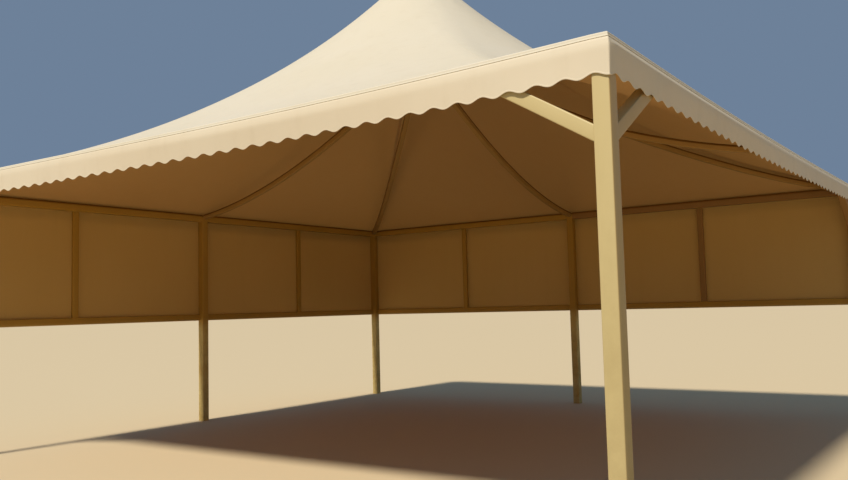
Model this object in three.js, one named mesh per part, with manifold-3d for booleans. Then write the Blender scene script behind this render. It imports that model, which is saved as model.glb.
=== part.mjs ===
// Square high-peak shade tent: a frame of square steel tube under a stretched fabric cover.
// Units are millimetres, +Z is up, and the origin is the middle of the plan at ground level.
// The front and left sides are open, the back and right sides carry a half-height skirt.

import * as THREE from 'three';
import { mergeVertices } from 'three/addons/utils/BufferGeometryUtils.js';
import Module from 'manifold-3d';

const wasm = await Module();
wasm.setup();

// Plan and heights of the frame
const halfSide = 4000;
const postSize = 100;
const eaveTop = 2940;
const beamHeight = 100;
const seatGap = 0.3;

// Rafters, hub and mast
const rafterSize = 65;
const rafterFootHeight = 2900;
const rafterHeadHeight = 4520;
const middleBend = { share: 0.537, height: 3100 };
const hipBend = { share: 0.676, height: 3030 };
const rafterSteps = 16;
const hubApothem = 130;
const hubBottom = 4375;
const hubTop = 4545;
const mastRadius = 45;
const crownRadius = 120;
const crownBottom = 5460;
const crownShoulder = 5495;
const peakHeight = 5545;
const capRadius = 150;
const capHeight = 50;

// Knee braces at the open sides
const braceSize = 80;
const braceFootHeight = 2413;
const braceSlope = 0.625;

// Skirt frame on the closed sides
const railDepth = 40;
const railHeight = 80;
const railBottom = 1426;
const mullionWidth = 80;
const mullionOffset = 2000;
const skirtBottom = 1420;
const skirtTop = 2930;

// Fabric
const fabricThickness = 3;
const coverThickness = 4;
const coverLayerGap = seatGap + fabricThickness + seatGap;
const coverHalf = halfSide + coverLayerGap + fabricThickness;
const coverRimInner = halfSide - 15;
const valanceTip = 2685;
const valanceWave = 24;
const scallopsPerSide = 46;
const stepsPerScallop = 6;

// Hip profile of the cover: a cubic curve from the eave corner up to the peak
const hipOuterReach = 2000;
const hipOuterSlope = 0.155;
const hipInnerReach = 1600;
const hipInnerSlope = 1.04;
const peakRoundness = 1;
const coverLevels = 18;
const coverColumns = 16;

const quarter = Math.PI / 2;
const postInner = halfSide - postSize;
const beamBottom = eaveTop - beamHeight;
const coverEave = eaveTop + seatGap + coverThickness;

const steelPaint = new THREE.MeshStandardMaterial({ color: 0xcdb887, roughness: 0.45, metalness: 0.1 });
const rafterPaint = new THREE.MeshStandardMaterial({ color: 0xc2ab7a, roughness: 0.5, metalness: 0.1 });
const coverFabric = new THREE.MeshStandardMaterial({ color: 0xe6d6b4, roughness: 0.55, metalness: 0 });
const skirtFabric = new THREE.MeshStandardMaterial({ color: 0xd9c49c, roughness: 0.6, metalness: 0 });

const tent = new THREE.Group();

// Each side is modelled as the front one, at -Y, and its group is turned about the centre.
// The two end names are those of the local -X and +X ends.
const sides = [
  { name: 'front', turn: 0, ends: ['left', 'right'], skirted: false },
  { name: 'right', turn: quarter, ends: ['front', 'back'], skirted: true },
  { name: 'back', turn: 2 * quarter, ends: ['right', 'left'], skirted: true },
  { name: 'left', turn: 3 * quarter, ends: ['back', 'front'], skirted: false },
];
for (const side of sides) {
  side.group = new THREE.Group();
  side.group.rotation.z = side.turn;
  tent.add(side.group);
}

const corners = [
  { name: 'front_left', x: -1, y: -1 },
  { name: 'front_right', x: 1, y: -1 },
  { name: 'back_right', x: 1, y: 1 },
  { name: 'back_left', x: -1, y: 1 },
];

function addMesh(parent, name, geometry, material) {
  const mesh = new THREE.Mesh(geometry, material);
  mesh.name = name;
  parent.add(mesh);
  return mesh;
}

// A box between two corners, each given as [x, y, z]
function addBar(parent, name, low, high, material) {
  const size = high.map((value, axis) => value - low[axis]);
  const mesh = addMesh(parent, name, new THREE.BoxGeometry(...size), material);
  mesh.position.set(...low.map((value, axis) => value + size[axis] / 2));
}

// A flat outline in the X-Z plane of a side, given depth inwards from its outer face
function addUpright(parent, name, outline, outerY, depth, material) {
  const geometry = new THREE.ExtrudeGeometry(new THREE.Shape(outline), { depth, bevelEnabled: false });
  geometry.rotateX(quarter);
  const mesh = addMesh(parent, name, geometry, material);
  mesh.position.y = outerY + depth;
}

function toSolid(geometry) {
  const bare = geometry.clone();
  bare.deleteAttribute('normal');
  bare.deleteAttribute('uv');
  const welded = mergeVertices(bare, 0.001);
  return new wasm.Manifold(new wasm.Mesh({
    numProp: 3,
    vertProperties: welded.attributes.position.array,
    triVerts: Uint32Array.from(welded.index.array),
  }));
}

function toGeometry(solid) {
  const result = solid.getMesh();
  const geometry = new THREE.BufferGeometry();
  geometry.setAttribute('position', new THREE.BufferAttribute(result.vertProperties, 3));
  geometry.setIndex(new THREE.BufferAttribute(result.triVerts, 1));
  geometry.computeVertexNormals();
  return geometry;
}

// Posts stand at every corner and in the middle of each skirted side.
for (const corner of corners) {
  const centre = halfSide - postSize / 2;
  const low = [corner.x * centre - postSize / 2, corner.y * centre - postSize / 2, 0];
  const high = [corner.x * centre + postSize / 2, corner.y * centre + postSize / 2, eaveTop];
  addBar(tent, `post_${corner.name}`, low, high, steelPaint);
}
for (const side of sides.filter((each) => each.skirted)) {
  const low = [-postSize / 2, -halfSide, 0];
  const high = [postSize / 2, -postInner, eaveTop];
  addBar(side.group, `post_${side.name}_mid`, low, high, steelPaint);
}

// The two bays of a skirted side lie either side of its middle post.
function baysOf(side) {
  return [
    { end: side.ends[0], from: -postInner, to: -postSize / 2, sign: -1 },
    { end: side.ends[1], from: postSize / 2, to: postInner, sign: 1 },
  ];
}

// Eave beams: one length on an open side, two on a skirted one
for (const side of sides) {
  if (!side.skirted) {
    const low = [-postInner, -halfSide, beamBottom];
    addBar(side.group, `beam_${side.name}`, low, [postInner, -postInner, eaveTop], steelPaint);
    continue;
  }
  for (const bay of baysOf(side)) {
    const low = [bay.from, -halfSide, beamBottom];
    const high = [bay.to, -postInner, eaveTop];
    addBar(side.group, `beam_${side.name}_${bay.end}`, low, high, steelPaint);
  }
}

// Knee braces rise from the corner posts to the beam, cut upright at one end and level at the other.
for (const side of sides.filter((each) => !each.skirted)) {
  const halfRise = (braceSize / 2) * Math.sqrt(1 + braceSlope ** 2);
  const reachAt = (height) => (beamBottom - height) / braceSlope;
  const lowFoot = braceFootHeight - halfRise;
  const highFoot = braceFootHeight + halfRise;
  const outerY = -halfSide + (postSize - braceSize) / 2;
  side.ends.forEach((end, index) => {
    const sign = index === 0 ? 1 : -1;
    const start = -sign * postInner;
    const outline = [
      new THREE.Vector2(start, lowFoot),
      new THREE.Vector2(start + sign * reachAt(lowFoot), beamBottom),
      new THREE.Vector2(start + sign * reachAt(highFoot), beamBottom),
      new THREE.Vector2(start, highFoot),
    ];
    addUpright(side.group, `brace_${side.name}_${end}`, outline, outerY, braceSize, steelPaint);
  });
}

// Skirt frame: a bottom rail and a mullion in each bay, flush with the outer faces of the posts
for (const side of sides.filter((each) => each.skirted)) {
  const innerY = -halfSide + railDepth;
  const railTop = railBottom + railHeight;
  for (const bay of baysOf(side)) {
    const suffix = `${side.name}_${bay.end}`;
    addBar(side.group, `rail_${suffix}`, [bay.from, -halfSide, railBottom], [bay.to, innerY, railTop], steelPaint);
    const middle = bay.sign * mullionOffset;
    const low = [middle - mullionWidth / 2, -halfSide, railTop];
    const high = [middle + mullionWidth / 2, innerY, beamBottom];
    addBar(side.group, `mullion_${suffix}`, low, high, steelPaint);
  }
}

// A rafter's axis is one sagging curve, out to the half side or to the half diagonal.
// The head is cut upright at the hub, the foot along the inner faces of beams and corner post.
function rafterGeometry(reach, bendAt, isHip) {
  const foot = new THREE.Vector3(reach, 0, rafterFootHeight);
  const bend = new THREE.Vector3(bendAt.share * reach, 0, bendAt.height);
  const head = new THREE.Vector3(0, 0, rafterHeadHeight);
  const path = new THREE.QuadraticBezierCurve3(head, bend, foot);
  const half = rafterSize / 2;
  const section = new THREE.Shape([
    new THREE.Vector2(-half, -half),
    new THREE.Vector2(half, -half),
    new THREE.Vector2(half, half),
    new THREE.Vector2(-half, half),
  ]);
  const tube = new THREE.ExtrudeGeometry(section, { steps: rafterSteps, extrudePath: path });
  const clearWidth = 2 * (postInner - seatGap);
  const bounds = new THREE.BoxGeometry(clearWidth, clearWidth, 2 * rafterHeadHeight);
  if (isHip) bounds.rotateZ(quarter / 2);
  const headCut = new THREE.BoxGeometry(2 * (hubApothem + seatGap), clearWidth, 4 * rafterHeadHeight);
  return toGeometry(toSolid(tube).intersect(toSolid(bounds)).subtract(toSolid(headCut)));
}
const middleRafter = rafterGeometry(halfSide, middleBend, false);
const hipRafter = rafterGeometry(halfSide * Math.SQRT2, hipBend, true);
for (const side of sides) {
  const mesh = addMesh(side.group, `rafter_mid_${side.name}`, middleRafter, rafterPaint);
  mesh.rotation.z = -quarter;
}
for (const corner of corners) {
  const mesh = addMesh(tent, `rafter_hip_${corner.name}`, hipRafter, rafterPaint);
  mesh.rotation.z = Math.atan2(corner.y, corner.x);
}

// The hub is an eight-sided block with one face to each rafter, and the mast stands on it.
const hubRadius = hubApothem / Math.cos(quarter / 4);
const hub = new THREE.CylinderGeometry(hubRadius, hubRadius, hubTop - hubBottom, 8);
hub.rotateX(quarter);
hub.rotateZ(quarter / 4);
addMesh(tent, 'hub', hub, rafterPaint).position.z = (hubTop + hubBottom) / 2;

// A turned solid, its outline given as [radius, height] from the axis round to the axis
function addTurned(name, outline, segments, material) {
  const points = outline.map(([radius, height]) => new THREE.Vector2(radius, height));
  const geometry = new THREE.LatheGeometry(points, segments);
  geometry.rotateX(quarter);
  addMesh(tent, name, geometry, material);
}
const crownSide = crownRadius - 2 * seatGap;
const crownTop = peakHeight + coverThickness;
addTurned('mast', [
  [0, hubTop],
  [mastRadius, hubTop],
  [mastRadius, crownBottom],
  [crownSide - 20, crownBottom],
  [crownSide, crownShoulder],
  [crownSide, crownTop],
  [0, crownTop],
], 24, rafterPaint);
addTurned('peak_cap', [
  [0, crownTop],
  [capRadius, crownTop],
  [capRadius, crownTop + capHeight * 0.15],
  [capRadius * 0.7, crownTop + capHeight * 0.7],
  [capRadius * 0.35, crownTop + capHeight * 0.93],
  [0, crownTop + capHeight],
], 24, coverFabric);

// The cover's level curves are square at the eave and nearly round at the peak.
// hipRadius is the distance of a level's corner from the axis.
const rimRadius = coverRimInner * Math.SQRT2;
const hipCurve = new THREE.CubicBezierCurve(
  new THREE.Vector2(rimRadius, coverEave),
  new THREE.Vector2(rimRadius - hipOuterReach, coverEave + hipOuterSlope * hipOuterReach),
  new THREE.Vector2(crownRadius + hipInnerReach, peakHeight - hipInnerSlope * hipInnerReach),
  new THREE.Vector2(crownRadius, peakHeight),
);

function levelPoint(hipRadius, height, angle) {
  const roundness = peakRoundness * (1 - Math.min(1, (hipRadius - crownRadius) / (rimRadius - crownRadius)));
  const squareShare = Math.SQRT1_2 / Math.cos(angle);
  const radius = hipRadius * ((1 - roundness) * squareShare + roundness);
  return new THREE.Vector3(radius * Math.sin(angle), -radius * Math.cos(angle), height);
}

// One quarter of the cover, between two hips, as a closed shell of even thickness
function coverPanel() {
  const levels = [new THREE.Vector2(coverHalf * Math.SQRT2, coverEave)];
  for (let step = 0; step <= coverLevels; step += 1) levels.push(hipCurve.getPoint(step / coverLevels));
  const hipInset = (seatGap / 2) * Math.SQRT2;
  const positions = [];
  for (const drop of [0, coverThickness]) {
    for (const level of levels) {
      for (let column = 0; column <= coverColumns; column += 1) {
        const angle = (column / coverColumns - 0.5) * quarter;
        const point = levelPoint(level.x, level.y - drop, angle);
        if (column === 0) point.x += hipInset;
        if (column === coverColumns) point.x -= hipInset;
        positions.push(point.x, point.y, point.z);
      }
    }
  }
  const width = coverColumns + 1;
  const below = levels.length * width;
  const index = [];
  const quad = (a, b, c, d) => index.push(a, b, c, a, c, d);
  for (let row = 0; row < levels.length - 1; row += 1) {
    for (let column = 0; column < coverColumns; column += 1) {
      const corner = row * width + column;
      quad(corner, corner + 1, corner + width + 1, corner + width);
      quad(below + corner, below + corner + width, below + corner + width + 1, below + corner + 1);
    }
    const left = row * width;
    const right = left + coverColumns;
    quad(left, left + width, below + left + width, below + left);
    quad(right, below + right, below + right + width, right + width);
  }
  const top = (levels.length - 1) * width;
  for (let column = 0; column < coverColumns; column += 1) {
    quad(column, below + column, below + column + 1, column + 1);
    quad(top + column, top + column + 1, below + top + column + 1, below + top + column);
  }
  const geometry = new THREE.BufferGeometry();
  geometry.setAttribute('position', new THREE.Float32BufferAttribute(positions, 3));
  geometry.setIndex(index);
  geometry.computeVertexNormals();
  return geometry;
}
const coverQuarter = coverPanel();
for (const side of sides) addMesh(side.group, `roof_${side.name}`, coverQuarter, coverFabric);

// Valance: a strip round the eave with a wavy lower edge, a tip of the wave at each corner
const wavePitch = (2 * coverHalf) / scallopsPerSide;
function valanceOutline(halfLength) {
  const outline = [new THREE.Vector2(-halfLength, eaveTop)];
  const steps = scallopsPerSide * stepsPerScallop;
  for (let step = 0; step <= steps; step += 1) {
    const x = THREE.MathUtils.clamp(-coverHalf + (step / steps) * 2 * coverHalf, -halfLength, halfLength);
    const phase = ((x + coverHalf) / wavePitch) * 2 * Math.PI;
    outline.push(new THREE.Vector2(x, valanceTip + (valanceWave * (1 - Math.cos(phase))) / 2));
  }
  outline.push(new THREE.Vector2(halfLength, eaveTop));
  return outline;
}
for (const side of sides) {
  const lapped = side.name === 'left' || side.name === 'right';
  const halfLength = lapped ? coverHalf - fabricThickness - seatGap : coverHalf;
  const outline = valanceOutline(halfLength);
  addUpright(side.group, `valance_${side.name}`, outline, -coverHalf, fabricThickness, coverFabric);
}

// Skirts hang on the outer faces of posts, beam and rail, from behind the valance to the rail's foot.
// The back skirt runs on past the corner to cover the edge of the right one.
const skirtFace = halfSide + seatGap;
for (const side of sides.filter((each) => each.skirted)) {
  const reachPast = side.name === 'back' ? skirtFace + fabricThickness : halfSide;
  const low = [-reachPast, -skirtFace - fabricThickness, skirtBottom];
  addBar(side.group, `skirt_${side.name}`, low, [halfSide, -skirtFace, skirtTop], skirtFabric);
}

export default tent;
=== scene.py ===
from math import atan, atan2, copysign, cos, exp, hypot, pi, radians, sin, sqrt, tau
import bmesh
import bpy
from mathutils import Euler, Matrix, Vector, noise


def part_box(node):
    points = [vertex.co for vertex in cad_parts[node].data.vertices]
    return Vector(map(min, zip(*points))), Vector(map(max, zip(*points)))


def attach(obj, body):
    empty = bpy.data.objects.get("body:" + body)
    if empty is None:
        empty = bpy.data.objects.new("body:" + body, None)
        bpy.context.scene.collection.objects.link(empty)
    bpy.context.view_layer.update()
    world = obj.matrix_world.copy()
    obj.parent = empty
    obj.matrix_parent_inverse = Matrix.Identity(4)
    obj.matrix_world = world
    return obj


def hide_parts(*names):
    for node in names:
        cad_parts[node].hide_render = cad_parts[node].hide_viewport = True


# square high-peak shade tent, seen from low down outside its front left corner
# metres, +Z up, the middle of the plan at ground level is the origin
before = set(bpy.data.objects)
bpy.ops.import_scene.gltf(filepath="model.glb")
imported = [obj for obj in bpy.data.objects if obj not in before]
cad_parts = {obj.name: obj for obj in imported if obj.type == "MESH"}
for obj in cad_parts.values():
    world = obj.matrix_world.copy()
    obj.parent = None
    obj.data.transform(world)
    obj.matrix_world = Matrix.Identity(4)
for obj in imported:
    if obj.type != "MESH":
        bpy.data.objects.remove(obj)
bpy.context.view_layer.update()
bpy.ops.object.select_all(action="DESELECT")
bpy.context.scene.cursor.location = (0, 0, 0)
print("tent: frame loaded,", len(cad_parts), "nodes")

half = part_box("post_front_right")[1].x  # outer face of the posts
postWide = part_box("post_front_left")[1].x + half
inner = half - postWide
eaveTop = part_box("beam_front")[1].z
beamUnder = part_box("beam_front")[0].z
quarter = pi / 2
diagonal = sqrt(2)
sideTurns = {"front": 0, "right": quarter, "back": 2 * quarter, "left": 3 * quarter}


def unit(value):
    # the value, held between 0 and 1
    return max(0, min(1, value))


def evenly(start, end, count):
    # values from start to end in this many equal steps
    return [start + (end - start) * step / count for step in range(count + 1)]


def atSide(along, across, height, turn):
    # a place given at the front side, turned with it to another side
    return Vector((along * cos(turn) - across * sin(turn),
                   along * sin(turn) + across * cos(turn), height))


def outwardAt(turn):
    return Vector((sin(turn), -cos(turn), 0))


# the two clear spans, front and left, have sunk a little under the cover's pull
settling = {"front": (0.034, 0.35), "left": (0.025, 1.0), "reach": 3}  # depth, and lean to the near end


def sinkAt(x, y):
    sink = 0.0
    for along, across, (depth, lean) in ((x, y, settling["front"]), (y, x, settling["left"])):
        share = max(-1, min(1, along / inner))
        near = unit(-across / inner) ** settling["reach"]
        sink += depth * (1 - share * share) * (1 - lean * share) * near
    return sink


def letSink(piece):
    for vertex in piece.data.vertices:
        vertex.co.z -= sinkAt(vertex.co.x, vertex.co.y)


# small helpers for working as by hand

def solo(piece):
    bpy.ops.object.select_all(action="DESELECT")
    piece.select_set(True)
    bpy.context.view_layer.objects.active = piece


def editMode(piece, mode):
    # opens the piece with all of it selected
    solo(piece)
    bpy.ops.object.mode_set(mode="EDIT")
    bpy.ops.mesh.select_mode(type=mode)
    bpy.ops.mesh.select_all(action="SELECT")


def objectMode():
    bpy.ops.object.mode_set(mode="OBJECT")


def pick(piece, kind, test):
    # selects faces, edges or vertices in edit mode by a test on the bmesh element
    bpy.ops.mesh.select_all(action="DESELECT")
    work = bmesh.from_edit_mesh(piece.data)
    for item in getattr(work, kind):
        item.select_set(test(item))
    work.select_flush_mode()
    bmesh.update_edit_mesh(piece.data)


def cutOff(cuts):
    # in edit mode, removes what lies past each plane and closes the cut
    for point, normal in cuts:
        bpy.ops.mesh.select_all(action="SELECT")
        bpy.ops.mesh.bisect(plane_co=point, plane_no=normal, use_fill=True, clear_outer=True)


def faceOutwards(piece):
    editMode(piece, "FACE")
    bpy.ops.mesh.normals_make_consistent(inside=False)
    objectMode()


def applyAll(piece):
    solo(piece)
    bpy.ops.object.transform_apply(location=True, rotation=True, scale=True)
    for modifier in list(piece.modifiers):
        bpy.ops.object.modifier_apply(modifier=modifier.name)


def cuboid(middle, size, tilt=0.0):
    bpy.ops.mesh.primitive_cube_add(size=1, location=middle, scale=size, rotation=(0, -tilt, 0))
    piece = bpy.context.object
    applyAll(piece)
    return piece


def joinPieces(pieces):
    # makes closed pieces one, with their faces outwards
    solo(pieces[0])
    for piece in pieces:
        piece.select_set(True)
    bpy.ops.object.join()
    faceOutwards(pieces[0])
    return pieces[0]


def skin(name, rows, ring=False, loop=False, ends=False):
    # a sheet over rows of points: ring joins each row's end to its start, loop joins the last row to the
    # first one, and ends closes the first and the last row
    across = len(rows[0])
    faces = []
    for stop in range(len(rows) if loop else len(rows) - 1):
        here = stop * across
        after = (stop + 1) % len(rows) * across
        for place in range(across if ring else across - 1):
            beside = (place + 1) % across
            faces.append((here + place, here + beside, after + beside, after + place))
    if ends:
        faces.append(tuple(reversed(range(across))))
        faces.append(tuple(range((len(rows) - 1) * across, len(rows) * across)))
    mesh = bpy.data.meshes.new(name)
    mesh.from_pydata([point for row in rows for point in row], [], faces)
    piece = bpy.data.objects.new(name, mesh)
    bpy.context.scene.collection.objects.link(piece)
    return piece


def layMap(piece, places):
    # a map in metres, with one place for each vertex
    layer = piece.data.uv_layers.new(name="metres")
    for loop in piece.data.loops:
        layer.data[loop.index].uv = places[loop.vertex_index]


def keep(piece, name, material, nodes=(), smooth=35):
    # names a finished piece, dresses it and lets it ride on the tent
    piece.name = name
    piece.data.name = name
    if material:
        piece.data.materials.clear()
        piece.data.materials.append(material)
    solo(piece)
    bpy.ops.object.shade_smooth_by_angle(angle=radians(smooth))
    piece.select_set(False)
    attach(piece, "root")
    if nodes:
        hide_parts(*nodes)
    return piece


# shader groups shared by several finishes

def newGroup(name, inputs, outputs):
    group = bpy.data.node_groups.new(name, "ShaderNodeTree")
    for direction, sockets in (("INPUT", inputs), ("OUTPUT", outputs)):
        for kind, labels in sockets.items():
            for label in labels:
                group.interface.new_socket(name=label, in_out=direction, socket_type="NodeSocket" + kind)
    start = group.nodes.new("NodeGroupInput")
    end = group.nodes.new("NodeGroupOutput")
    return group, start.outputs, end.inputs


def feed(tree, socket, value):
    # links an output to the socket, or sets a plain value on it
    if hasattr(value, "is_output"):
        tree.links.new(value, socket)
    else:
        socket.default_value = value


def mixColour(tree, factor, first, second, blend="MIX"):
    node = tree.nodes.new("ShaderNodeMix")
    node.data_type = "RGBA"
    node.blend_type = blend
    for place, value in ((0, factor), (6, first), (7, second)):
        feed(tree, node.inputs[place], value)
    return node.outputs[2]


def mathNode(tree, operation, first, second, clamp=False):
    node = tree.nodes.new("ShaderNodeMath")
    node.operation = operation
    node.use_clamp = clamp
    feed(tree, node.inputs[0], first)
    feed(tree, node.inputs[1], second)
    return node.outputs[0]


def rangeNode(tree, value, low, high, toLow=0.0, toHigh=1.0):
    node = tree.nodes.new("ShaderNodeMapRange")
    for socket, setting in zip(node.inputs[:5], (value, low, high, toLow, toHigh)):
        feed(tree, socket, setting)
    return node.outputs[0]


def axisOf(tree, vector, axis):
    node = tree.nodes.new("ShaderNodeSeparateXYZ")
    tree.links.new(vector, node.inputs[0])
    return node.outputs[axis]


def noiseNode(tree, vector, scale, detail, rough, stretch=None):
    if stretch:
        mapping = tree.nodes.new("ShaderNodeMapping")
        mapping.inputs["Scale"].default_value = stretch
        tree.links.new(vector, mapping.inputs["Vector"])
        vector = mapping.outputs[0]
    node = tree.nodes.new("ShaderNodeTexNoise")
    node.inputs["Scale"].default_value = scale
    node.inputs["Detail"].default_value = detail
    node.inputs["Roughness"].default_value = rough
    tree.links.new(vector, node.inputs["Vector"])
    return node.outputs["Fac"]


def bumpNode(tree, height, strength, distance):
    node = tree.nodes.new("ShaderNodeBump")
    node.inputs["Strength"].default_value = strength
    node.inputs["Distance"].default_value = distance
    tree.links.new(height, node.inputs["Height"])
    return node.outputs[0]


def mottleGroup():
    # slow and fine variation of tone, as on weathered coated cloth or paint
    inputs = {"Vector": ["Vector"], "Color": ["Main", "Faded", "Grimy"], "Float": ["Fade", "Grime"]}
    group, given, result = newGroup("mottle", inputs, {"Color": ["Color"]})
    cloud = noiseNode(group, given["Vector"], scale=0.55, detail=4, rough=0.55)
    speck = noiseNode(group, given["Vector"], scale=9.0, detail=5, rough=0.65)
    runs = noiseNode(group, given["Vector"], scale=1.0, detail=4, rough=0.6, stretch=(7.0, 7.0, 0.6))
    faded = mathNode(group, "MULTIPLY", rangeNode(group, cloud, low=0.38, high=0.66), given["Fade"])
    speck = rangeNode(group, speck, low=0.36, high=0.66)
    grime = mathNode(group, "MULTIPLY", rangeNode(group, runs, low=0.5, high=0.72), speck)
    grime = mathNode(group, "MULTIPLY", grime, given["Grime"], clamp=True)
    tone = mixColour(group, faded, given["Main"], given["Faded"])
    group.links.new(mixColour(group, grime, tone, given["Grimy"]), result["Color"])
    return group


def lowToneGroup():
    # a second tone that takes over from the untoned height down to the fully toned one, broken up by noise
    inputs = {"Vector": ["Vector"], "Color": ["Color", "Dust"], "Float": ["Dusty", "Clean"]}
    group, given, result = newGroup("sandDust", inputs, {"Color": ["Color"], "Float": ["Mask"]})
    height = rangeNode(group, axisOf(group, given["Vector"], "Z"), given["Clean"], given["Dusty"])
    patches = noiseNode(group, given["Vector"], scale=6.0, detail=6, rough=0.7)
    broken = rangeNode(group, patches, low=0.3, high=0.7, toLow=0.35)
    mask = mathNode(group, "MULTIPLY", height, broken, clamp=True)
    group.links.new(mixColour(group, mask, given["Color"], given["Dust"]), result["Color"])
    group.links.new(mask, result["Mask"])
    return group


def weaveGroup():
    # threads of the base cloth showing through its coating, from a map in metres
    inputs = {"Vector": ["Map"], "Float": ["Pitch"]}
    group, given, result = newGroup("threads", inputs, {"Float": ["Height"]})
    bands = []
    for direction in ("X", "Y"):
        wave = group.nodes.new("ShaderNodeTexWave")
        wave.bands_direction = direction
        wave.inputs["Distortion"].default_value = 0.6
        wave.inputs["Detail"].default_value = 1.0
        group.links.new(given["Map"], wave.inputs["Vector"])
        # one band of this texture is pi / 10 long at scale 1
        feed(group, wave.inputs["Scale"], mathNode(group, "DIVIDE", pi / 10, given["Pitch"]))
        bands.append(wave.outputs["Fac"])
    group.links.new(mathNode(group, "MULTIPLY", *bands), result["Height"])
    return group


groups = {"mottle": mottleGroup(), "lowTone": lowToneGroup(), "weave": weaveGroup()}


def placeGroup(tree, name, **values):
    node = tree.nodes.new("ShaderNodeGroup")
    node.node_tree = groups[name]
    for label, value in values.items():
        feed(tree, node.inputs[label], value)
    return node.outputs


def startMaterial(name):
    material = bpy.data.materials.new(name)
    material.use_nodes = True
    return material, material.node_tree, material.node_tree.nodes["Principled BSDF"]


# finishes; colours are linear red, green, blue and alpha, heights are in metres

# painted shade: the inner faces of the cover and skirts are painted darker and browner than the outer faces,
# standing in for the shade inside the tent
insideCloth = {
    "fade": 0.6, "grime": 0.25, "threadPitch": 0.004, "bump": 0.2, "roughLow": 0.6, "roughHigh": 0.75,
    "specular": 0.2, "glow": (0.85, 0.52, 0.18, 1)}
# painted shade: shadedPaint settings serve the darker, browner copies of the frame paint that stand in for
# the shade under the cover
shadedPaint = {"fade": 0.6, "grime": 0.3, "roughLow": 0.5, "roughHigh": 0.65, "specular": 0.12}
# painted light: lowTone makes the shaded paints much lighter below the skirts' rail
underBeam = {"lowTone": (0.66, 0.51, 0.205, 1), "lowToned": 1.3, "untoned": 1.46,
             # corner is a painted shade along the top of the tubes, right under the cloth
             "corner": (0.15, 0.06, 0.006, 1), "cornerSpan": (2.908, 2.928), **shadedPaint}
looks = {
    "coverOutside": {
        "main": (0.67, 0.60, 0.455, 1), "faded": (0.70, 0.64, 0.52, 1), "grimy": (0.51, 0.43, 0.305, 1),
        "fade": 0.5, "grime": 0.22, "threadPitch": 0.004, "bump": 0.1, "roughLow": 0.56, "roughHigh": 0.68,
        "specular": 0.3, "through": 0.15, "glow": (0.85, 0.68, 0.42, 1)},
    "coverInside": {
        "main": (0.42, 0.268, 0.122, 1), "faded": (0.46, 0.303, 0.147, 1), "grimy": (0.35, 0.212, 0.093, 1),
        "through": 0.4, **insideCloth},
    "skirtInside": {
        "main": (0.585, 0.40, 0.135, 1), "faded": (0.63, 0.44, 0.168, 1), "grimy": (0.475, 0.315, 0.103, 1),
        "through": 0.35, **insideCloth},
    "valanceCloth": {
        "main": (0.65, 0.555, 0.402, 1), "faded": (0.68, 0.60, 0.455, 1), "grimy": (0.505, 0.41, 0.27, 1),
        "fade": 0.5, "grime": 0.25, "threadPitch": 0.003, "bump": 0.22, "roughLow": 0.5, "roughHigh": 0.65,
        "specular": 0.35, "through": 0.1, "glow": (0.85, 0.68, 0.42, 1)},
    "sunnyPaint": {
        "main": (0.475, 0.38, 0.174, 1), "faded": (0.515, 0.41, 0.205, 1), "grimy": (0.36, 0.27, 0.115, 1),
        # frontShade is a painted shade on faces turned to the front
        "frontShade": (0.90, 0.78, 0.66, 1), "fade": 0.6, "grime": 0.3, "lowTone": (0.385, 0.295, 0.13, 1),
        # the sunny paint gets darker towards the bottom, fully below lowToned
        "lowToned": 0.8, "untoned": 2.6, "roughLow": 0.38, "roughHigh": 0.52, "specular": 0.4},
    # painted shade: a darker, browner copy of the frame paint, for tubes in the shade under the cover
    "paintInShade": {
        "main": (0.37, 0.20, 0.030, 1), "faded": (0.40, 0.225, 0.045, 1), "grimy": (0.29, 0.16, 0.028, 1),
        **underBeam},
    # painted shade: a still darker copy of the frame paint, for the front right bay that gets the least
    # light
    "paintInDeepShade": {
        "main": (0.275, 0.142, 0.04, 1), "faded": (0.295, 0.155, 0.05, 1), "grimy": (0.215, 0.11, 0.032, 1),
        **underBeam},
    # painted shade: the rafters, hub and mast get a darker, browner copy of the frame paint, as in the shade
    # under the cover
    "rafterPaint": {
        "main": (0.335, 0.19, 0.052, 1), "faded": (0.37, 0.214, 0.066, 1), "grimy": (0.26, 0.148, 0.04, 1),
        "lowTone": (0.5, 0.4, 0.26, 1), "lowToned": 0.0, "untoned": 0.5,
        # corner is a painted shade along the rafters' top edges, right under the cloth
        "corner": (0.14, 0.06, 0.008, 1), "cornerSpan": (0.70, 0.80), "cornerMap": "shadeUnderCloth",
        **shadedPaint},
}
roughSpread = (0.3, 0.7)  # the part of a noise that roughness follows
clothGrain = {"crumple": 14.0, "threadShare": 0.25, "depth": 0.002}
paintGrain = {"orangePeel": 260.0, "strength": 0.12, "depth": 0.0006, "smear": 5.0, "lowToneRough": 0.3,
              # frontShadeSpan: how far a face turns to the front before its painted shade starts and where
              # it is full
              "frontShadeSpan": (-0.3, -0.9)}


def mottled(tree, look, place):
    tone = placeGroup(tree, "mottle", Vector=place, Main=look["main"], Faded=look["faded"],
                      Grimy=look["grimy"], Fade=look["fade"], Grime=look["grime"])
    return tone["Color"]


def setSurface(tree, surface, look, colour, rough, bump):
    for label, output in (("Base Color", colour), ("Roughness", rough), ("Normal", bump)):
        tree.links.new(output, surface.inputs[label])
    surface.inputs["Specular IOR Level"].default_value = look["specular"]


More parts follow.
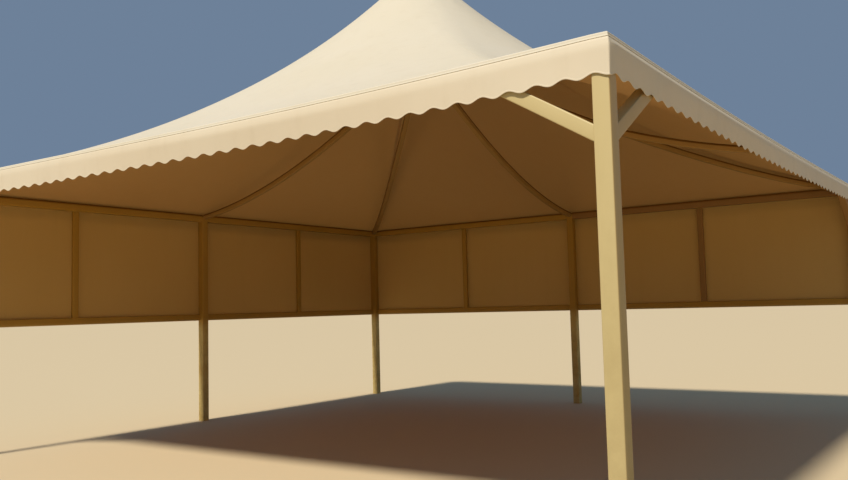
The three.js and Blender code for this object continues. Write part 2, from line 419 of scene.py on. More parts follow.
def clothMaterial(name):
    look = looks[name]
    material, tree, surface = startMaterial(name)
    coordinates = tree.nodes.new("ShaderNodeTexCoord").outputs
    threads = placeGroup(tree, "weave", Map=coordinates["UV"], Pitch=look["threadPitch"])
    crumple = noiseNode(tree, coordinates["Object"], clothGrain["crumple"], detail=5, rough=0.55)
    threads = mathNode(tree, "MULTIPLY", threads[0], clothGrain["threadShare"])
    bump = bumpNode(tree, mathNode(tree, "ADD", threads, crumple), look["bump"], clothGrain["depth"])
    rough = rangeNode(tree, crumple, *roughSpread, look["roughLow"], look["roughHigh"])
    setSurface(tree, surface, look, mottled(tree, look, coordinates["Object"]), rough, bump)
    # some daylight comes through the coated cloth
    glow = tree.nodes.new("ShaderNodeBsdfTranslucent")
    glow.inputs["Color"].default_value = look["glow"]
    tree.links.new(bump, glow.inputs["Normal"])
    both = tree.nodes.new("ShaderNodeMixShader")
    both.inputs[0].default_value = look["through"]
    tree.links.new(surface.outputs[0], both.inputs[1])
    tree.links.new(glow.outputs[0], both.inputs[2])
    tree.links.new(both.outputs[0], tree.nodes["Material Output"].inputs["Surface"])
    return material


def paintMaterial(name):
    look = looks[name]
    material, tree, surface = startMaterial(name)
    coordinates = tree.nodes.new("ShaderNodeTexCoord").outputs
    place = coordinates["Object"]
    colour = mottled(tree, look, place)
    if "frontShade" in look:
        # painted shade: faces turned to the front get a darker, yellower tone, standing in for the sun never
        # reaching them
        shaded = rangeNode(tree, axisOf(tree, coordinates["Normal"], "Y"), *paintGrain["frontShadeSpan"])
        colour = mixColour(tree, shaded, colour, look["frontShade"], "MULTIPLY")
    # a second tone towards the bottom: darker on the sunny paint, painted light on the paints in the shade
    lowToned = placeGroup(tree, "lowTone", Vector=place, Color=colour, Dust=look["lowTone"],
                       Dusty=look["lowToned"], Clean=look["untoned"])
    colour = lowToned["Color"]
    if "corner" in look:
        # painted shade: a dark band along the top of the tubes, right under the cloth, by height or by the
        # rafters' top-edge map
        if "cornerMap" in look:
            attribute = tree.nodes.new("ShaderNodeAttribute")
            attribute.attribute_name = look["cornerMap"]
            reach = attribute.outputs["Fac"]
        else:
            reach = axisOf(tree, place, "Z")
        colour = mixColour(tree, rangeNode(tree, reach, *look["cornerSpan"]), colour, look["corner"])
    orangePeel = noiseNode(tree, place, paintGrain["orangePeel"], detail=2, rough=0.5)
    bump = bumpNode(tree, orangePeel, paintGrain["strength"], paintGrain["depth"])
    smear = noiseNode(tree, place, paintGrain["smear"], detail=4, rough=0.6)
    rough = rangeNode(tree, smear, *roughSpread, look["roughLow"], look["roughHigh"])
    dull = mathNode(tree, "MULTIPLY", lowToned["Mask"], paintGrain["lowToneRough"])
    setSurface(tree, surface, look, colour, mathNode(tree, "ADD", rough, dull, clamp=True), bump)
    return material


clothOutside = clothMaterial("coverOutside")
clothInside = clothMaterial("coverInside")
skirtInside = clothMaterial("skirtInside")
valanceCloth = clothMaterial("valanceCloth")
sunnyPaint = paintMaterial("sunnyPaint")
paintInShade = paintMaterial("paintInShade")
paintInDeepShade = paintMaterial("paintInDeepShade")
rafterPaint = paintMaterial("rafterPaint")
print("tent: finishes made")


# steel frame: square tubes with rounded corners

# one frame paint in a lit copy and shaded copies: sunnyPaint for tubes out in the sun, painted shade for the
# rest, darkest in the front right bay
outInTheSun = ("post_front_left", "post_back_left", "beam_left", "beam_front",
               "brace_left_front", "brace_left_back", "brace_front_left")
furthestIn = ("beam_right_front", "mullion_right_front", "brace_front_right")
clearSpans = ("beam_front", "beam_left")
tube = {"corner": 0.007, "beamCorner": 0.013, "segments": 4, "bendCuts": 30, "postShort": 0.006}


def nodesOf(*kinds):
    return [node for node in sorted(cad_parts) if node.split("_")[0] in kinds]


def framePaint(node):
    if node in furthestIn:
        return paintInDeepShade
    return sunnyPaint if node in outInTheSun else paintInShade


def pickLong(piece, length):
    # the edges that run along a tube of this length
    pick(piece, "edges", lambda edge: edge.calc_length() > length / 2)


def roundLong(piece, length, corner):
    editMode(piece, "EDGE")
    pickLong(piece, length)
    bpy.ops.mesh.bevel(offset=corner, segments=tube["segments"], affect="EDGES")


def straightTube(node):
    kind = node.split("_")[0]
    low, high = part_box(node)
    if kind == "post":
        high.z -= tube["postShort"]
    size = high - low
    piece = cuboid((low + high) / 2, size)
    roundLong(piece, max(size), tube["beamCorner"] if kind == "beam" else tube["corner"])
    if node in clearSpans:
        pickLong(piece, max(size))
        bpy.ops.mesh.subdivide(number_cuts=tube["bendCuts"])
    objectMode()
    if kind == "beam":
        letSink(piece)
    keep(piece, node + "_tube", framePaint(node), [node])


for node in nodesOf("post", "beam", "rail", "mullion"):
    straightTube(node)
print("tent: posts, beams, rails and mullions")


brace = {"size": 0.08, "foot": 2.413, "slope": 0.625, "over": 0.15}


def kneeBrace(node, turn, sign):
    # modelled at the front side, then turned with it; sign is +1 where it leans towards local +X
    angle = atan(brace["slope"])
    rise = beamUnder - brace["foot"]
    length = rise / sin(angle) + 2 * brace["over"]
    middle = Vector((-inner + rise / brace["slope"] / 2, -half + postWide / 2, brace["foot"] + rise / 2))
    piece = cuboid(middle, (length, brace["size"], brace["size"]), tilt=angle)
    roundLong(piece, length, tube["corner"])
    cutOff([((-inner, 0, 0), (-1, 0, 0)), ((0, 0, beamUnder), (0, 0, 1))])
    objectMode()
    if sign < 0:
        piece.scale.x = -1
        applyAll(piece)
        faceOutwards(piece)
    piece.rotation_euler.z = turn
    applyAll(piece)
    letSink(piece)
    keep(piece, node + "_tube", framePaint(node), [node])


kneeBrace("brace_front_left", sideTurns["front"], 1)
kneeBrace("brace_front_right", sideTurns["front"], -1)
kneeBrace("brace_left_back", sideTurns["left"], 1)
kneeBrace("brace_left_front", sideTurns["left"], -1)
print("tent: knee braces")


rafter = {
    "size": 0.065, "corner": 0.006, "head": 4.52, "middleBend": (0.537, 3.10), "hipBend": (0.676, 3.03),
    "foot": 2.90, "hub": 0.1303, "gap": 0.0003, "steps": 40, "tail": 0.1, "merge": 0.0001}


def roundedProfile():
    bpy.ops.mesh.primitive_plane_add(size=rafter["size"])
    profile = bpy.context.object
    editMode(profile, "VERT")
    bpy.ops.mesh.bevel(offset=rafter["corner"], segments=tube["segments"], affect="VERTICES")
    bpy.ops.mesh.delete(type="ONLY_FACE")
    objectMode()
    bpy.ops.object.convert(target="CURVE")
    return bpy.context.object


def bentRafter(node, reach, bendAt, turn, footCuts):
    bendShare, bendHeight = bendAt
    profile = roundedProfile()
    bpy.ops.curve.primitive_bezier_curve_add()
    path = bpy.context.object
    top = Vector((0, 0, rafter["head"]))
    bend = Vector((bendShare * reach, 0, bendHeight))
    foot = Vector((reach, 0, rafter["foot"]))
    # handles two thirds of the way to the bend let that one point shape the curve
    ends = path.data.splines[0].bezier_points
    for point in ends:
        point.handle_left_type = "FREE"
        point.handle_right_type = "FREE"
    ends[0].co = top
    ends[0].handle_right = top + (bend - top) * 2 / 3
    ends[0].handle_left = top - (bend - top) * rafter["tail"]
    ends[1].co = foot
    ends[1].handle_left = foot + (bend - foot) * 2 / 3
    ends[1].handle_right = foot + (foot - bend).normalized() * rafter["tail"]
    path.data.dimensions = "3D"
    path.data.twist_mode = "Z_UP"
    path.data.resolution_u = rafter["steps"]
    path.data.bevel_mode = "OBJECT"
    path.data.bevel_object = profile
    path.data.use_fill_caps = True
    solo(path)
    bpy.ops.object.convert(target="MESH")
    piece = bpy.context.object
    bpy.data.objects.remove(profile)
    piece.rotation_euler.z = turn
    applyAll(piece)
    outward = Vector((cos(turn), sin(turn), 0))
    editMode(piece, "VERT")
    bpy.ops.mesh.remove_doubles(threshold=rafter["merge"])
    cutOff([(outward * rafter["hub"], -outward)] + footCuts)
    objectMode()
    faceOutwards(piece)
    letSink(piece)
    # mask for the painted shade along the rafters' top edges, right under the cloth: 1 along the top edges
    # and 0 along the lower ones
    topEdges = piece.data.attributes.new("shadeUnderCloth", "FLOAT", "POINT")
    for vertex, share in zip(piece.data.vertices, topEdges.data):
        share.value = 1.0 if vertex.normal.z > 0 else 0.0
    keep(piece, node + "_tube", rafterPaint, [node])


wall = inner - rafter["gap"]
for name, turn in sideTurns.items():
    outward = outwardAt(turn)
    bentRafter("rafter_mid_" + name, half, rafter["middleBend"], turn - quarter, [(outward * wall, outward)])
corners = {"front_left": (-1, -1), "front_right": (1, -1), "back_right": (1, 1), "back_left": (-1, 1)}
for name, (x, y) in corners.items():
    footCuts = [((x * wall, 0, 0), (x, 0, 0)), ((0, y * wall, 0), (0, y, 0))]
    bentRafter("rafter_hip_" + name, half * diagonal, rafter["hipBend"], atan2(y, x), footCuts)
print("tent: rafters")


# welds: a rippled bead round every end of a tube that stands against another

weld = {
    "radius": 0.003, "pitch": 0.004, "ripple": 0.16, "sides": 6, "endCorners": 9,
    "ground": 0.05, "groundEdge": 0.014}


def groundFlush(place):
    # under the cover the beads are ground off, so that the cloth lies flat
    reach = max(abs(place.x), abs(place.y))
    top = place.z > eaveTop - weld["groundEdge"] and reach > inner - weld["groundEdge"]
    return top or reach > half - weld["groundEdge"]


def beadRings(corners):
    centre = sum(corners, Vector()) / len(corners)
    normal = (corners[0] - centre).cross(corners[len(corners) // 4] - centre).normalized()
    path = []
    for corner, following in zip(corners, corners[1:] + corners[:1]):
        count = max(1, round((following - corner).length / weld["pitch"]))
        path += [corner.lerp(following, step / count) for step in range(count)]
    turns = evenly(0, tau, weld["sides"])[:-1]
    rings = []
    for index, stop in enumerate(path):
        ahead = path[(index + 1) % len(path)] - path[index - 1]
        aside = ahead.cross(normal).normalized()
        swell = weld["radius"] * (1 + weld["ripple"] * (1 if index % 2 else -1))
        if groundFlush(stop):
            swell *= weld["ground"]
        rings.append([stop + (aside * cos(turn) + normal * sin(turn)) * swell for turn in turns])
    return rings


def weldEnds(name, pieces, material):
    beads = []
    for piece in pieces:
        for end in piece.data.polygons:
            if len(end.vertices) >= weld["endCorners"]:
                rings = beadRings([piece.data.vertices[index].co for index in end.vertices])
                beads.append(skin("bead", rings, ring=True, loop=True))
    keep(joinPieces(beads), name, material, smooth=50)


def tubesOf(*kinds):
    return [bpy.data.objects[node + "_tube"] for node in nodesOf(*kinds)]


joined = tubesOf("beam", "brace", "rail", "mullion")
sunny = [piece for piece in joined if piece.data.materials[0] == sunnyPaint]
weldEnds("weldsSunny", sunny, sunnyPaint)
# beads on the shaded tubes take the painted-shade copy of the paint
weldEnds("weldsInShade", [piece for piece in joined if piece not in sunny], paintInShade)
weldEnds("weldsRafters", tubesOf("rafter"), rafterPaint)
print("tent: welds")


# head of the frame: hub with plates and bolts, mast with a crown, and the cap over it

head = {
    "hubApothem": 0.13, "hubBottom": 4.375, "hubTop": 4.545, "plateInset": 0.016, "plateRise": 0.006,
    "lidFacing": 0.99, "hubEdge": 0.003, "bolts": 8, "boltCircle": 0.088, "boltRadius": 0.011,
    "boltTall": 0.008, "boltEdge": 0.0012, "boltTwist": 3, "mastSides": 64, "capSides": 96,
    "mast": [(0.052, 4.545), (0.052, 4.61), (0.0455, 4.614), (0.045, 4.618), (0.045, 5.396),
             (0.05, 5.402), (0.05, 5.45), (0.056, 5.46), (0.098, 5.46), (0.1065, 5.464),
             (0.1168, 5.48), (0.1176, 5.486), (0.1176, 5.537), (0.1164, 5.5412), (0.113, 5.5438),
             (0.109, 5.5444)],
    "cap": [(0.03, 5.5448), (0.03, 5.556), (0.128, 5.552), (0.144, 5.548), (0.1462, 5.5455),
            (0.149, 5.545), (0.15, 5.547), (0.15, 5.553), (0.1478, 5.559), (0.142, 5.564),
            (0.128, 5.5712), (0.105, 5.58), (0.078, 5.5878), (0.052, 5.5922), (0.024, 5.5945),
            (0.0235, 5.5975), (0.011, 5.598), (0.0105, 5.602), (0.006, 5.604)],
    "fins": 8, "finSize": (0.05, 0.006, 0.055), "finFrom": 0.044, "finFoot": 0.052, "finTop": 5.461}


def turned(outline, sides):
    # a turned solid drawn out ring by ring, from (radius, height) pairs
    radius, height = outline[0]
    bpy.ops.mesh.primitive_circle_add(
        vertices=sides, radius=radius, fill_type="NGON", location=(0, 0, height))
    piece = bpy.context.object
    applyAll(piece)
    editMode(piece, "FACE")
    for nextRadius, nextHeight in outline[1:]:
        bpy.ops.mesh.extrude_region_move(TRANSFORM_OT_translate={"value": (0, 0, nextHeight - height)})
        scale = nextRadius / radius
        bpy.ops.transform.resize(value=(scale, scale, 1), center_override=(0, 0, nextHeight))
        radius, height = nextRadius, nextHeight
    objectMode()
    faceOutwards(piece)
    return piece


def boltHeads(height, direction):
    heads = []
    for index in range(head["bolts"]):
        angle = (index + 0.5) * tau / head["bolts"]
        bpy.ops.mesh.primitive_cylinder_add(
            vertices=6, radius=head["boltRadius"], depth=head["boltTall"],
            location=(head["boltCircle"] * cos(angle), head["boltCircle"] * sin(angle),
                      height + direction * head["boltTall"] / 2),
            rotation=(0, 0, angle * head["boltTwist"]))
        bolt = bpy.context.object
        bevel = bolt.modifiers.new("edges", "BEVEL")
        bevel.width = head["boltEdge"]
        bevel.segments = 2
        applyAll(bolt)
        heads.append(bolt)
    return heads


def dressHub():
    low, high = head["hubBottom"], head["hubTop"]
    bpy.ops.mesh.primitive_cylinder_add(
        vertices=8, radius=head["hubApothem"] / cos(quarter / 4), depth=high - low,
        location=(0, 0, (high + low) / 2), rotation=(0, 0, quarter / 4))
    block = bpy.context.object
    applyAll(block)
    editMode(block, "EDGE")
    bpy.ops.mesh.bevel(offset=head["hubEdge"], segments=2, affect="EDGES")
    bpy.ops.mesh.select_mode(type="FACE")
    for direction in (1, -1):
        # the lid sits in a sunk ring, as a plate welded inside the drum
        pick(block, "faces", lambda face: face.normal.z * direction > head["lidFacing"])
        bpy.ops.mesh.inset(thickness=head["plateInset"] / 2)
        bpy.ops.transform.translate(value=(0, 0, -direction * head["plateRise"]))
        bpy.ops.mesh.inset(thickness=head["plateInset"] / 2)
    objectMode()
    bolts = boltHeads(high - head["plateRise"], 1) + boltHeads(low + head["plateRise"], -1)
    keep(joinPieces([block] + bolts), "hubBlock", rafterPaint, ["hub"])


def dressMast():
    parts = [turned(head["mast"], head["mastSides"])]
    reach, _, tall = head["finSize"]
    for index in range(head["fins"]):
        # gusset plates under the crown
        fin = cuboid((head["finFrom"] + reach / 2, 0, head["finTop"] - tall / 2), head["finSize"])
        editMode(fin, "VERT")
        cutOff([((head["finFoot"], 0, head["finTop"] - tall), (tall, 0, -reach))])
        objectMode()
        fin.rotation_euler.z = index * tau / head["fins"]
        applyAll(fin)
        parts.append(fin)
    keep(joinPieces(parts), "mastPole", rafterPaint, ["mast"], smooth=30)


dressHub()
dressMast()
cap = turned(head["cap"], head["capSides"])
keep(cap, "peakCap", clothOutside, ["peak_cap"], smooth=30)
print("tent: hub, mast and cap")


# fabric: one cover over the whole frame, square at the eave and round at the peak

cover = {
    "rim": 3.98, "edge": 4.0034, "eave": 2.942, "outerReach": 2.0, "outerSlope": 0.155,
    "innerReach": 1.6, "innerSlope": 1.04, "peak": 5.545, "crown": 0.12, "climb": 0.0023,
    "levels": 84, "columns": 68, "gather": 0.4, "thickness": 0.0014, "cut": 9.55, "mapApart": 10,
    "shoulderWide": 0.02, "shoulderTall": 0.012, "shoulderSteps": 8,
    "band": [(0, 2.894), (0, 2.902), (0, 2.91), (0.0012, 2.9106), (0.0026, 2.9114), (0.0034, 2.9132),
             (0.003, 2.9156), (0.0016, 2.918), (0.0004, 2.92), (0, 2.924)],
    "over": [(0.1165, 5.5462), (0.111, 5.5466), (0.102, 5.5467)],
    "hipWidth": 0.001, "hipOpen": 0.06, "hipOpenOver": 0.8, "hipRound": 0.2, "hipWidest": 0.6}
folds = {
    "slack": 0.006, "slackPitch": 0.7, "slackSeed": 3.1, "edge": 0.25,
    "corner": 0.003, "cornerReach": 1.1, "cornerStart": 0.35, "cornerBare": 0.02, "cornerRays": 17,
    "peak": 0.004, "peakAt": 0.35, "peakReach": 0.4, "peakBare": 0.13, "peakStart": 0.15,
    "peakRays": 16, "waver": 1.5, "waverRays": 3}
rimRadius = cover["rim"] * diagonal


def hipPoint(share):
    # distance from the middle and height of the hip, on one curve from the eave to the crown
    outer = cover["outerReach"]
    inward = cover["innerReach"]
    eave = Vector((rimRadius, cover["eave"]))
    leaving = Vector((rimRadius - outer, cover["eave"] + cover["climb"] + cover["outerSlope"] * outer))
    arriving = Vector((cover["crown"] + inward, cover["peak"] - cover["innerSlope"] * inward))
    crown = Vector((cover["crown"], cover["peak"]))
    rest = 1 - share
    return (eave * rest ** 3 + leaving * 3 * rest ** 2 * share
            + arriving * 3 * rest * share ** 2 + crown * share ** 3)


hips = [hipPoint(share) for share in evenly(0, 1, cover["levels"])]


def levelPoint(hipRadius, height, angle, turn):
    roundness = 1 - min(1, (hipRadius - cover["crown"]) / (rimRadius - cover["crown"]))
    # the hip is a crease at the corner and opens into a round towards the peak
    width = cover["hipWidth"] + cover["hipOpen"] * unit((rimRadius - hipRadius) / cover["hipOpenOver"])
    soft = min(cover["hipWidest"], (width + cover["hipRound"] * roundness ** 2) / hipRadius)
    fromHip = quarter / 2 - abs(angle)
    if fromHip < soft:
        fromHip = (soft + fromHip ** 2 / soft) / 2
    square = sqrt(0.5) / cos(quarter / 2 - fromHip)
    radius = hipRadius * ((1 - roundness) * square + roundness)
    heading = angle + turn
    return Vector((radius * sin(heading), -radius * cos(heading), height))


def clothMove(point):
    # small unevenness of a stretched cover: folds that run from the corners and down from the peak
    loose = unit((half - max(abs(point.x), abs(point.y))) / folds["edge"])
    spot = Vector((point.x * folds["slackPitch"], point.y * folds["slackPitch"], folds["slackSeed"]))
    move = folds["slack"] * noise.noise(spot) * loose
    away = Vector((copysign(half, point.x), copysign(half, point.y))) - point.xy
    distance = away.length
    if distance > folds["cornerBare"]:
        bearing = atan2(abs(away.y), abs(away.x)) - quarter / 2
        strength = exp(-(distance / folds["cornerReach"]) ** 2) * min(1, distance / folds["cornerStart"])
        move += folds["corner"] * strength * cos(bearing * folds["cornerRays"]) * loose
    radius = hypot(point.x, point.y)
    heading = atan2(point.y, point.x)
    strength = exp(-((radius - folds["peakAt"]) / folds["peakReach"]) ** 2)
    strength *= min(1, max(0, radius - folds["peakBare"]) / folds["peakStart"])
    waver = folds["waver"] * sin(heading * folds["waverRays"])
    move += folds["peak"] * strength * cos(heading * folds["peakRays"] + waver)
    return move


def spreadColumns():
    # side and spread of every column; the columns gather towards the corners
    columns = []
    for side in range(4):
        for share in evenly(-0.5, 0.5, cover["columns"])[:-1]:
            spread = cover["gather"] * sin(share * pi) + (1 - 2 * cover["gather"]) * share
            columns.append((side, spread))
    return columns


columns = spreadColumns()


def levelRow(radius, height, folded=True, raised=0.0):
    row = []
    for side, spread in columns:
        point = levelPoint(radius, height, spread * quarter, side * quarter)
        point.z += raised - sinkAt(point.x, point.y)
        if folded:
            point.z += clothMove(point)
        row.append(point)
    return row


def coverSheet():
    # turned-down band with a welt along it, then the shoulder, then the climb to the peak
    levels = [((cover["edge"] + out) * diagonal, height) for out, height in cover["band"]]
    for turn in evenly(0, quarter, cover["shoulderSteps"]):
        square = cover["edge"] - cover["shoulderWide"] * (1 - cos(turn))
        levels.append((square * diagonal, cover["eave"] - cover["shoulderTall"] * (1 - sin(turn))))
    straight = len(levels)
    levels += [tuple(hip) for hip in hips] + cover["over"]
    rows = []
    places = []
    run = 0.0
    for index, (radius, height) in enumerate(levels):
        if index:
            lastRadius, lastHeight = levels[index - 1]
            run += hypot(radius / diagonal - lastRadius / diagonal, height - lastHeight)
        rows.append(levelRow(radius, height, folded=index > straight))
        wide = 2 * radius / diagonal
        places += [(side * cover["mapApart"] + spread * wide, run) for side, spread in columns]
    piece = skin("cover", rows, ring=True)
    layMap(piece, places)
    return piece


def thicken(piece, thickness, outside=clothOutside, inside=clothInside, offset=-1):
    solid = piece.modifiers.new("thickness", "SOLIDIFY")
    solid.thickness = thickness
    solid.offset = offset
    solid.material_offset = 1
    solid.material_offset_rim = 0
    piece.data.materials.append(outside)
    piece.data.materials.append(inside)
    applyAll(piece)


seams = {"wide": 0.03, "ply": 0.0010, "sunk": 0.0005, "collar": 0.34, "collarPly": 0.0012, "lift": 0.00025}


def coverPoint(hip, heading, across, raised):
    # the place on a level of the cover that lies this far aside of a heading from the middle
    side = round(heading / quarter)
    radius = levelPoint(hip.x, hip.y, heading - side * quarter, 0).xy.length
    turn = heading + across / radius
    side = round(turn / quarter)
    point = levelPoint(hip.x, hip.y, turn - side * quarter, side * quarter)
    point.z += clothMove(point) - sinkAt(point.x, point.y) + raised
    return point


def coverSeams():
    # one along each hip, from the shoulder up to the collar
    strips = []
    side = seams["wide"] / 2
    section = [(-side, -seams["sunk"]), (-side, seams["ply"]), (0, seams["ply"]), (side, seams["ply"]),
               (side, -seams["sunk"]), (0, -seams["sunk"])]
    for corner in range(4):
        heading = (corner + 0.5) * quarter
        rows = []
        for hip in hips[1:]:
            rows.append([coverPoint(hip, heading, across, raised) for across, raised in section])
            if hip.x < seams["collar"]:
                break
        strips.append(skin("seam", rows, ring=True, ends=True))
    return keep(joinPieces(strips), "coverSeams", clothOutside, smooth=40)


def peakCollar():
    # second ply round the crown, where the cover is pulled hardest
    rows = [levelRow(*hip, raised=seams["lift"]) for hip in hips if hip.x < seams["collar"]]
    collar = skin("collar", rows, ring=True)
    faceOutwards(collar)
    thicken(collar, seams["collarPly"], offset=1)
    return keep(collar, "peakCollar", clothOutside, smooth=40)


def dressCover():
    piece = coverSheet()
    thicken(piece, cover["thickness"])
    keep(piece, "roofCover", None, ["roof_" + side for side in sideTurns], smooth=50)
    coverSeams()
    peakCollar()


dressCover()


# valance: one strip on each side of the eave, with a fold at its top and waves along its foot

valance = {
    "face": 4.0066, "cornerRadius": 0.004, "cornerSteps": 4, "stops": 552, "rows": 8, "thickness": 0.0012,
    "scallops": {"front": 45.5, "right": 46.5, "back": 45.5, "left": 46.5},
    "straight": 2.846, "tip": 2.703, "wave": 0.024, "footOut": 0.003, "cut": 0.245, "turnedIn": 0.035,
    "plain": [(-0.001, 2.9092), (0.0004, 2.9066), (0.0022, 2.9038), (0.0037, 2.8993),
              (0.0047, 2.8925), (0.0058, 2.886), (0.0068, 2.8795), (0.0077, 2.8725),
              (0.0084, 2.865), (0.0088, 2.856)],
    "ledge": [(-0.001, 2.9092), (-0.0002, 2.9066), (0.0012, 2.9038), (0.0043, 2.8981),
              (0.008, 2.891), (0.0114, 2.8848), (0.0134, 2.8795), (0.0138, 2.8735),
              (0.0134, 2.866), (0.0126, 2.857)],
    "ledgeFrom": -2.4, "ledgeTo": -0.4, "ledgeRest": 0.25, "ledgeEnd": 0.05,
    "lift": 0.012, "liftFrom": -3.6, "liftOver": 2.4, "liftEnd": 0.4,
    "tuck": {"left": 0.13, "front": 0.07}, "tuckFrom": -3.6, "tuckTo": 1.2, "tuckHolds": 0.14,
    "swing": 0.008, "swingBend": 1.5, "freeAtPost": 0.25, "freeOver": 0.6,
    "slow": (0.5, 0.3, 7.7), "slowSway": 0.9, "slowTop": 0.12, "quick": (2.3, 4.1, 1.9), "quickSway": 0.5,
    "closedSway": 0.5, "closedOut": 0.35}
hem = {"tall": 0.010, "thick": 0.0030, "edge": 0.001, "topNarrowed": 0.7}


def eavePath():
    # one side from the middle of its first corner to the middle of its last: along, across, lean outwards
    face = valance["face"]
    radius = valance["cornerRadius"]
    straight = [(along, -face, 0.0) for along in evenly(radius - face, face - radius, valance["stops"])]
    bend = []
    for turn in evenly(0, quarter / 2, valance["cornerSteps"])[1:]:
        bend.append((face - radius + radius * sin(turn), -face + radius - radius * cos(turn), turn))
    return [(-x, y, -turn) for x, y, turn in reversed(bend)] + straight + bend


def eaveStops(side, passed):
    # what the valance's section needs at each place along one side
    turn = sideTurns[side]
    face = valance["face"]
    middle = (valance["tuckFrom"] + valance["tuckTo"]) / 2
    ledgeOver = valance["ledgeTo"] - valance["ledgeFrom"]
    stops = []
    for x, y, lean in eavePath():
        share = (x + face) / (2 * face)
        tuck = ledge = lift = 0.0
        if side in valance["tuck"]:
            # in the middle the wind has pressed it in under the beam
            off = ((-x if side == "left" else x) - middle) / (valance["tuckTo"] - middle)
            tuck = valance["tuck"][side] * max(0, 1 - off ** 2) ** 2
        if side == "front":
            ledge = 1 - (1 - valance["ledgeRest"]) * unit((x - valance["ledgeFrom"]) / ledgeOver)
            ledge *= min(1, (face + x) / valance["ledgeEnd"]) * min(1, (face - x) / valance["ledgeEnd"])
            lift = valance["lift"] * unit((x - valance["liftFrom"]) / valance["liftOver"])
            lift *= min(1, (face - x) / valance["liftEnd"])
        free = min(1, valance["freeAtPost"] + (half - min(half, abs(x))) / valance["freeOver"])
        stops.append({
            "place": atSide(x, y, 0, turn), "outward": outwardAt(lean + turn),
            "run": (turn / quarter + share) * 2 * face,
            "scallops": passed + share * valance["scallops"][side],
            "tuck": tuck, "ledge": ledge, "lift": lift, "free": (1 - tuck / valance["tuckHolds"]) * free,
            "closed": "skirt_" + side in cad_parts})
    return stops


def valanceSection(stop):
    # points from the fold at the top to the foot, at one place along the eave
    slow, quick = (noise.noise(Vector((stop["run"] * pitch, second, third)))
                   for pitch, second, third in (valance["slow"], valance["quick"]))
    sway = valance["slowSway"] * slow + valance["quickSway"] * quick
    if stop["closed"]:
        sway = valance["closedSway"] * sway + valance["closedOut"]  # outwards only, clear of the skirt
    points = []
    for (plainOut, plainHeight), (ledgeOut, ledgeHeight) in zip(valance["plain"], valance["ledge"]):
        out = plainOut + (ledgeOut - plainOut) * stop["ledge"]
        height = plainHeight + (ledgeHeight - plainHeight) * stop["ledge"]
        points.append((out * (1 + valance["slowTop"] * slow), height))
    top = points[-1][0]
    straight = valance["straight"]
    foot = valance["tip"] + stop["lift"]
    foot += valance["wave"] * (1 - cos(stop["scallops"] * tau)) / 2
    for drop in evenly(0, 1, valance["rows"]):
        height = straight + (foot - straight) * drop
        out = top + (valance["footOut"] - top) * drop
        out += valance["swing"] * drop ** valance["swingBend"] * sway * stop["free"]
        points.append((out - stop["tuck"] * (straight - height), height))
    place = stop["place"]
    sink = sinkAt(place.x, place.y)
    return [place + stop["outward"] * out + Vector((0, 0, height - sink)) for out, height in points]


def hemTape(name, stops, rows):
    # tape folded round the wavy foot
    thick = hem["thick"] / 2
    tall = hem["tall"]
    edge = hem["edge"]
    top = thick * hem["topNarrowed"]
    section = [(-thick, edge), (-thick / 2, 0), (thick / 2, 0), (thick, edge),
               (thick, tall - edge), (top, tall), (-top, tall), (-thick, tall - edge)]
    tape = []
    for stop, row in zip(stops, rows):
        foot = row[-1] - stop["outward"] * valance["thickness"] / 2 - Vector((0, 0, edge))
        tape.append([foot + stop["outward"] * out + Vector((0, 0, rise)) for out, rise in section])
    return keep(skin(name, tape, ring=True, ends=True), name, valanceCloth, smooth=40)


def dressValance(side, passed):
    stops = eaveStops(side, passed)
    rows = [valanceSection(stop) for stop in stops]
    name = "valance" + side.capitalize()
    strip = skin(name, rows)
    layMap(strip, [(stop["run"], point.z) for stop, row in zip(stops, rows) for point in row])
    thicken(strip, valance["thickness"], outside=valanceCloth)
    keep(strip, name, None, ["valance_" + side], smooth=50)
    hemTape(name + "Hem", stops, rows)


passed = 0.0
for side in sideTurns:
    dressValance(side, passed)
    passed += valance["scallops"][side]


# skirts: a sheet stretched over posts, beam and rail on the two closed sides

skirt = {
    "thickness": 0.0012, "columns": 160, "rows": 30, "trim": 0.002, "off": 0.0003,
    "puff": 0.007, "puffBase": 0.6, "puffWave": 0.4, "pitch": (0.9, 1.3), "seed": 5.5,
    "railTall": 0.09, "easeTall": 0.25, "supportWide": 0.05, "easeWide": 0.5,
    "hem": 0.05, "hemSteps": 120, "hemLift": 0.001, "clear": 0.002,
    "seams": (-2.0, 0, 2.0), "seamWide": 0.03, "ply": 0.0009}
supports = (-half + postWide / 2, -half / 2, 0.0, half / 2, half - postWide / 2)


def skirtPoint(place, height, low, turn, raised):
    rise = unit((height - low - skirt["railTall"]) / skirt["easeTall"])
    rise *= unit((beamUnder - height) / skirt["easeTall"])
    gap = min(abs(place - support) for support in supports)
    loose = unit((gap - skirt["supportWide"]) / skirt["easeWide"]) * rise
    spot = Vector((place * skirt["pitch"][0], height * skirt["pitch"][1], skirt["seed"]))
    wave = skirt["puffBase"] + skirt["puffWave"] * noise.noise(spot)
    return atSide(place, -half - skirt["off"] - skirt["puff"] * loose * wave - raised, height, turn)


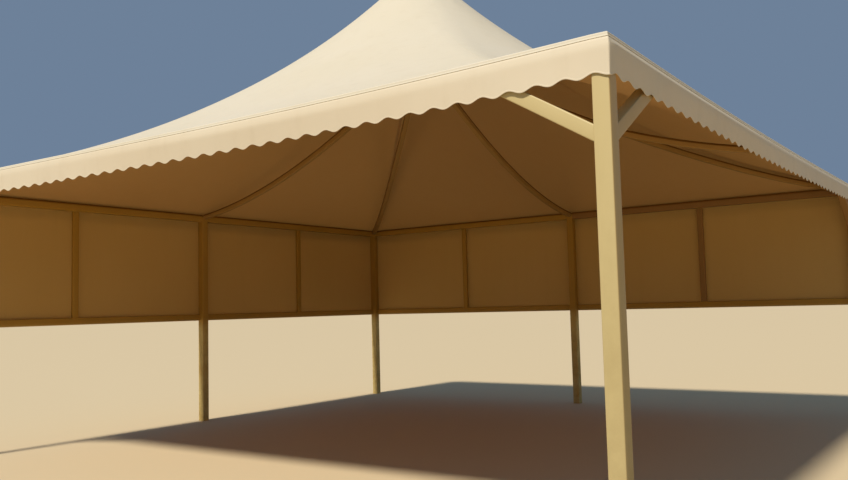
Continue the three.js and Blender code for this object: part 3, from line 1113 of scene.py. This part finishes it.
def skirtStrips(name, low, start, end, turn):
    # welded seams and folded hems, a second ply on the outer face
    outer = skirt["thickness"]
    ply = skirt["ply"]
    tall = skirt["hem"]
    clear = skirt["clear"]
    top = beamUnder - clear
    side = skirt["seamWide"] / 2
    stops = evenly(start, end, skirt["hemSteps"])
    heights = evenly(low + tall + clear, top - clear, skirt["rows"])
    strips = []
    for foot in (low + skirt["hemLift"], top):
        section = ((foot, 0), (foot, ply), (foot + tall, ply), (foot + tall, 0))
        rows = [[skirtPoint(place, height, low, turn, outer + raised)
                 for height, raised in section] for place in stops]
        strips.append(skin("hem", rows, ring=True, ends=True))
    for middle in skirt["seams"]:
        section = ((-side, 0), (-side, ply), (side, ply), (side, 0))
        rows = [[skirtPoint(middle + across, height, low, turn, outer + raised)
                 for across, raised in section] for height in heights]
        strips.append(skin("seam", rows, ring=True, ends=True))
    return keep(joinPieces(strips), name, clothOutside, smooth=40)


def dressSkirt(side):
    turn = sideTurns[side]
    name = "skirt" + side.capitalize()
    low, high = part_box("skirt_" + side)
    along = 0 if high.x - low.x > high.y - low.y else 1
    start, end = low[along] + skirt["trim"], high[along] - skirt["trim"]
    if side == "back":
        start, end = -end, -start
    stops = evenly(start, end, skirt["columns"])
    heights = evenly(low.z, high.z, skirt["rows"])
    rows = [[skirtPoint(place, height, low.z, turn, 0) for place in stops] for height in heights]
    piece = skin(name, rows)
    layMap(piece, [(place, height) for height in heights for place in stops])
    thicken(piece, skirt["thickness"], inside=skirtInside, offset=1)
    keep(piece, name, None, ["skirt_" + side], smooth=50)
    skirtStrips(name + "Seams", low.z, start, end, turn)


dressSkirt("back")
dressSkirt("right")
print("tent: skirts")


# stage, light and camera

stage = {
    "floor": (0.585, 0.462, 0.282, 1), "floorSize": 400, "floorRough": 0.9,
    "sky": (0.285, 0.405, 0.59, 1), "skyStrength": 0.54, "sun": 4.45, "sunColour": (1.0, 0.95, 0.86),
    "sunAngle": 6, "sunPlace": (-8, 0, 12), "sunTravel": (2.48, -0.08, -2.95)}


def setStage():
    bpy.ops.mesh.primitive_plane_add(size=stage["floorSize"], location=(0, 0, 0))
    floor = bpy.context.object
    floor.name = "floor"
    material, _, surface = startMaterial("floorFinish")
    surface.inputs["Base Color"].default_value = stage["floor"]
    surface.inputs["Roughness"].default_value = stage["floorRough"]
    floor.data.materials.append(material)
    world = bpy.data.worlds.new("studio")
    bpy.context.scene.world = world
    world.use_nodes = True
    background = world.node_tree.nodes["Background"]
    background.inputs["Color"].default_value = stage["sky"]
    background.inputs["Strength"].default_value = stage["skyStrength"]
    bpy.ops.object.light_add(type="SUN", location=stage["sunPlace"])
    sun = bpy.context.object
    sun.data.energy = stage["sun"]
    sun.data.color = stage["sunColour"]
    sun.data.angle = radians(stage["sunAngle"])
    sun.rotation_euler = Vector(stage["sunTravel"]).to_track_quat("-Z", "Y").to_euler()
    bpy.context.scene.view_settings.view_transform = "Standard"


camera = {
    "place": (-8.0526, -5.663, 1.5269), "heading": 0.9556, "pitch": 0.0801, "roll": -0.0257,
    "sensor": 36.0, "lens": 35.616, "farEnd": 500}


def setCamera():
    bpy.ops.object.camera_add(location=camera["place"])
    lens = bpy.context.object
    lens.rotation_euler = (Euler((0, 0, -camera["heading"])).to_quaternion()
                           @ Euler((quarter + camera["pitch"], 0, 0)).to_quaternion()
                           @ Euler((0, 0, camera["roll"])).to_quaternion()).to_euler()
    lens.data.sensor_width = camera["sensor"]
    lens.data.lens = camera["lens"]
    lens.data.clip_end = camera["farEnd"]
    bpy.context.scene.camera = lens


setStage()
setCamera()
print("tent: stage, light and camera")
